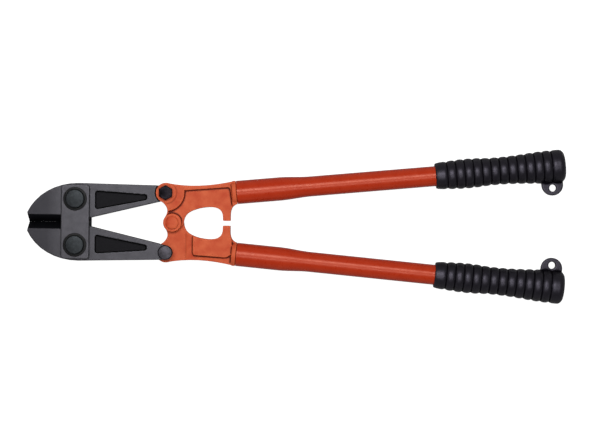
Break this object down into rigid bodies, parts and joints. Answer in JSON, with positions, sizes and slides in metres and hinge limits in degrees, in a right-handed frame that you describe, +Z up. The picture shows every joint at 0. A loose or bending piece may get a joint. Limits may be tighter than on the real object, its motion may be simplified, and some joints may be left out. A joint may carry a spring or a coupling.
{
  "type": "bolt cutters",
  "caption": "Centre-cut bolt cutters with compound-lever jaws, bolted straps, painted cast lever heads, tapered tube handles and ribbed grips with hanging eyes.",
  "frame": {"origin": "centre of the bounding box on X and Y, at the lowest point, where the lying tool touches the floor", "axes": "+X from the jaws to the grips, +Y across the handles, +Z up through the tool's thickness"},
  "size_m": [0.45, 0.1292, 0.0329],
  "materials": {
    "jaw_steel": "blackened forged alloy steel, satin",
    "strap_steel": "blackened plate, satin",
    "bolt_steel": "zinc-plated, dark satin",
    "washer_steel": "black oxide",
    "casting_paint": "orange-red paint on cast iron, satin",
    "tube_paint": "orange-red paint on steel tube, semi-gloss",
    "grip_vinyl": "black moulded vinyl, soft sheen"
  },
  "bodies": {
    "head": {"strap_front": "strap_steel", "strap_back": "strap_steel", "upper_jaw_bolt": "bolt_steel", "lower_jaw_bolt": "bolt_steel", "upper_jaw_nut": "bolt_steel", "lower_jaw_nut": "bolt_steel", "upper_jaw_washer_front": "washer_steel", "upper_jaw_washer_back": "washer_steel", "lower_jaw_washer_front": "washer_steel", "lower_jaw_washer_back": "washer_steel"},
    "upper_jaw": {"upper_jaw": "jaw_steel", "upper_rear_bolt": "bolt_steel", "upper_rear_nut": "bolt_steel"},
    "lower_jaw": {"lower_jaw": "jaw_steel", "lower_rear_bolt": "bolt_steel", "lower_rear_nut": "bolt_steel"},
    "upper_handle": {"upper_handle_casting": "casting_paint", "upper_handle_tube": "tube_paint", "upper_grip": "grip_vinyl", "upper_hang_tab": "grip_vinyl", "pivot_rivet_front_head": "casting_paint"},
    "lower_handle": {"lower_handle_casting": "casting_paint", "lower_handle_tube": "tube_paint", "lower_grip": "grip_vinyl", "lower_hang_tab": "grip_vinyl", "pivot_rivet": "casting_paint"}
  },
  "joints": [
    {"name": "upper_jaw_pivot", "type": "hinge", "parent": "head", "child": "upper_jaw", "pos_m": [-0.18446, 0.0192, 0.0175], "axis": [0, 0, -1], "range_deg": [0, 11.6]},
    {"name": "upper_handle_swing", "type": "hinge", "parent": "upper_jaw", "child": "upper_handle", "pos_m": [-0.10936, 0.025, 0.0175], "axis": [0, 0, 1], "range_deg": [0, 66.5]},
    {"name": "lower_jaw_pivot", "type": "hinge", "parent": "head", "child": "lower_jaw", "pos_m": [-0.18446, -0.0192, 0.0175], "axis": [0, 0, 1], "range_deg": [0, 11.6]},
    {"name": "lower_handle_swing", "type": "hinge", "parent": "lower_jaw", "child": "lower_handle", "pos_m": [-0.10936, -0.025, 0.0175], "axis": [0, 0, -1], "range_deg": [0, 66.5]}
  ],
  "couplings": [
    {"joint": "upper_jaw_pivot", "follows": "upper_handle_swing", "ratio": 0.1738},
    {"joint": "lower_jaw_pivot", "follows": "upper_handle_swing", "ratio": 0.1738},
    {"joint": "lower_handle_swing", "follows": "upper_handle_swing", "ratio": 1}
  ]
}
